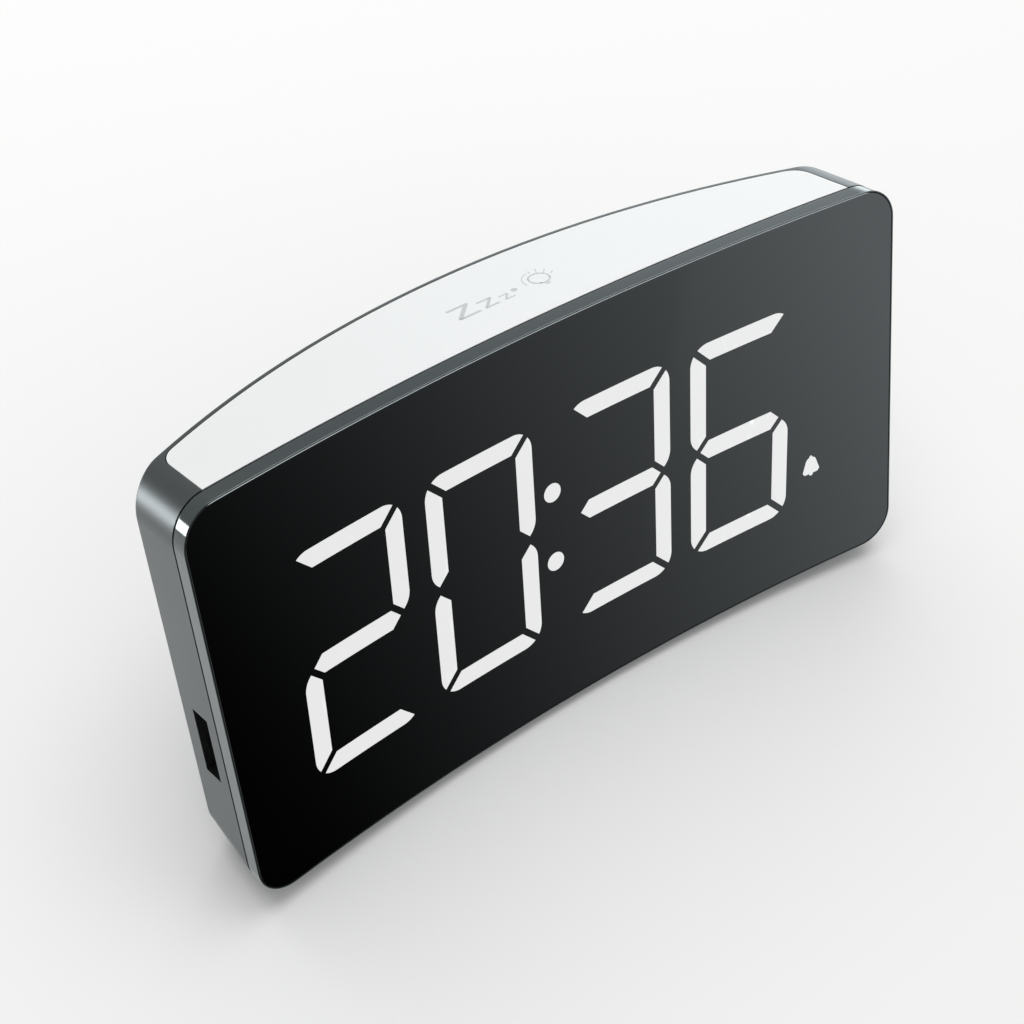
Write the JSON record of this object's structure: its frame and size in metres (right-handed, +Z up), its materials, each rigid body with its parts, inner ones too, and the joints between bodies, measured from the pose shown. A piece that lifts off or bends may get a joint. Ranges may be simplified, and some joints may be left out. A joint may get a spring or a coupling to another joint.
{
  "type": "alarm clock",
  "caption": "Crescent-shaped LED alarm clock with a dark curved display, white snooze bar, side charging port and rear controls.",
  "frame": {"origin": "middle of the clock on the surface that it stands on, under the centre of its box", "axes": "+X to the reader's right along the clock, +Y from the face to the back, +Z up"},
  "size_m": [0.1546, 0.0631, 0.0771],
  "materials": {
    "tinted_lens": "mirror-polished dark tint",
    "gloss_bezel": "polished",
    "satin_housing": "fine satin",
    "lit_white": "lit white",
    "diffuser": "frosted film",
    "white_plastic": "moulded",
    "circuit_board": "green solder mask",
    "led": "chip",
    "black_plastic": "moulded",
    "steel": "plated",
    "capacitor": "can",
    "port_plastic": "moulded",
    "brass": "plated contacts",
    "cone": "pressed cone",
    "snooze_white": "soft satin",
    "button_plastic": "satin",
    "foot_rubber": "matt",
    "screw_steel": "black plated",
    "label": "blank printed film"
  },
  "bodies": {
    "case": {"front_lens": "tinted_lens", "front_bezel": "gloss_bezel", "rear_housing": "satin_housing", "hours_tens_digit": "lit_white", "hours_units_digit": "lit_white", "minutes_tens_digit": "lit_white", "minutes_units_digit": "lit_white", "colon_dots": "lit_white", "alarm_sign": "lit_white", "diffuser_sheet": "diffuser", "light_reflector": "white_plastic", "display_board": "circuit_board", "led_chips": "led", "board_header": "black_plastic", "main_board": "circuit_board", "board_screws": "steel", "control_chip": "black_plastic", "clock_crystal": "steel", "filter_capacitors": "capacitor", "button_switches": "black_plastic", "snooze_board": "circuit_board", "snooze_switches": "black_plastic", "usb_shell": "steel", "usb_tongue": "port_plastic", "usb_contacts": "brass", "usb_board": "circuit_board", "power_jack": "port_plastic", "power_jack_pin": "brass", "speaker_frame": "black_plastic", "speaker_cone": "cone", "speaker_magnet": "steel", "coin_cell": "steel", "battery_contacts": "steel", "slide_switch": "black_plastic", "rubber_feet": "foot_rubber", "housing_screws": "screw_steel", "rating_label": "label"},
    "snooze_bar": {"snooze_bar": "snooze_white"},
    "alarm_switch": {"alarm_switch_knob": "button_plastic"},
    "battery_door": {"battery_door": "satin_housing"},
    "time_button": {"time_button": "button_plastic"},
    "alarm_button": {"alarm_button": "button_plastic"},
    "light_button": {"light_button": "button_plastic"},
    "down_button": {"down_button": "button_plastic"},
    "up_button": {"up_button": "button_plastic"}
  },
  "joints": [
    {"name": "snooze_press", "type": "slide", "parent": "case", "child": "snooze_bar", "axis": [0, -0.4067, -0.9135], "range_m": [0, 0.0008], "stiffness_N_per_m": 900, "springref_m": -0.0012},
    {"name": "time_press", "type": "slide", "parent": "case", "child": "time_button", "axis": [0, -0.9135, 0.4067], "range_m": [0, 0.0006], "stiffness_N_per_m": 600, "springref_m": -0.0012},
    {"name": "alarm_press", "type": "slide", "parent": "case", "child": "alarm_button", "axis": [0, -0.9135, 0.4067], "range_m": [0, 0.0006], "stiffness_N_per_m": 600, "springref_m": -0.0012},
    {"name": "light_press", "type": "slide", "parent": "case", "child": "light_button", "axis": [0, -0.9135, 0.4067], "range_m": [0, 0.0006], "stiffness_N_per_m": 600, "springref_m": -0.0012},
    {"name": "down_press", "type": "slide", "parent": "case", "child": "down_button", "axis": [0, -0.9135, 0.4067], "range_m": [0, 0.0006], "stiffness_N_per_m": 600, "springref_m": -0.0012},
    {"name": "up_press", "type": "slide", "parent": "case", "child": "up_button", "axis": [0, -0.9135, 0.4067], "range_m": [0, 0.0006], "stiffness_N_per_m": 600, "springref_m": -0.0012},
    {"name": "alarm_slide", "type": "slide", "parent": "case", "child": "alarm_switch", "axis": [0, 0.4067, 0.9135], "range_m": [0, 0.004]},
    {"name": "door_turn", "type": "hinge", "parent": "case", "child": "battery_door", "pos_m": [0, 0.00982, 0.01853], "axis": [0, 0.9135, -0.4067], "range_deg": [0, 60]}
  ]
}
